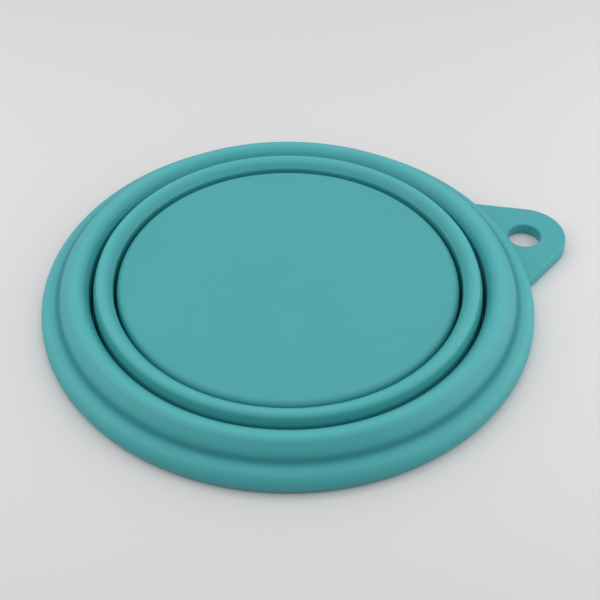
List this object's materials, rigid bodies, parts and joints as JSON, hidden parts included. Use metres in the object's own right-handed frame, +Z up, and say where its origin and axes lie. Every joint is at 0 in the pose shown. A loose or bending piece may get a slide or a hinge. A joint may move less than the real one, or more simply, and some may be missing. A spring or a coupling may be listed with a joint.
{
  "type": "collapsible dog bowl",
  "caption": "Round collapsible silicone pet bowl, folded flat and lying mouth down: rim flange with a hang tab, nested folding wall rings and a flat base disc.",
  "frame": {"origin": "on the floor the rim lies on, under the middle of the part's length with its hang tab; the bowl's axis stands at x = -8.05 mm", "axes": "+Z up along the bowl's axis, out of the outside of its base; +X along the hang tab"},
  "size_m": [0.146, 0.13, 0.0116],
  "materials": {
    "silicone": "matte",
    "silicone_fold": "matte"
  },
  "bodies": {
    "rim": {"rim_flange": "silicone", "hang_tab": "silicone", "upper_wall": "silicone", "upper_fold": "silicone_fold"},
    "middle_ring": {"middle_wall": "silicone", "lower_fold": "silicone_fold"},
    "base": {"base_wall": "silicone", "base_disc": "silicone"}
  },
  "joints": [
    {"name": "upper_pleat", "type": "slide", "parent": "rim", "child": "middle_ring", "axis": [0, 0, 1], "range_m": [0, 0.0205], "deforming": ["upper_fold"]},
    {"name": "lower_pleat", "type": "slide", "parent": "middle_ring", "child": "base", "axis": [0, 0, 1], "range_m": [0, 0.021], "deforming": ["lower_fold"]}
  ]
}
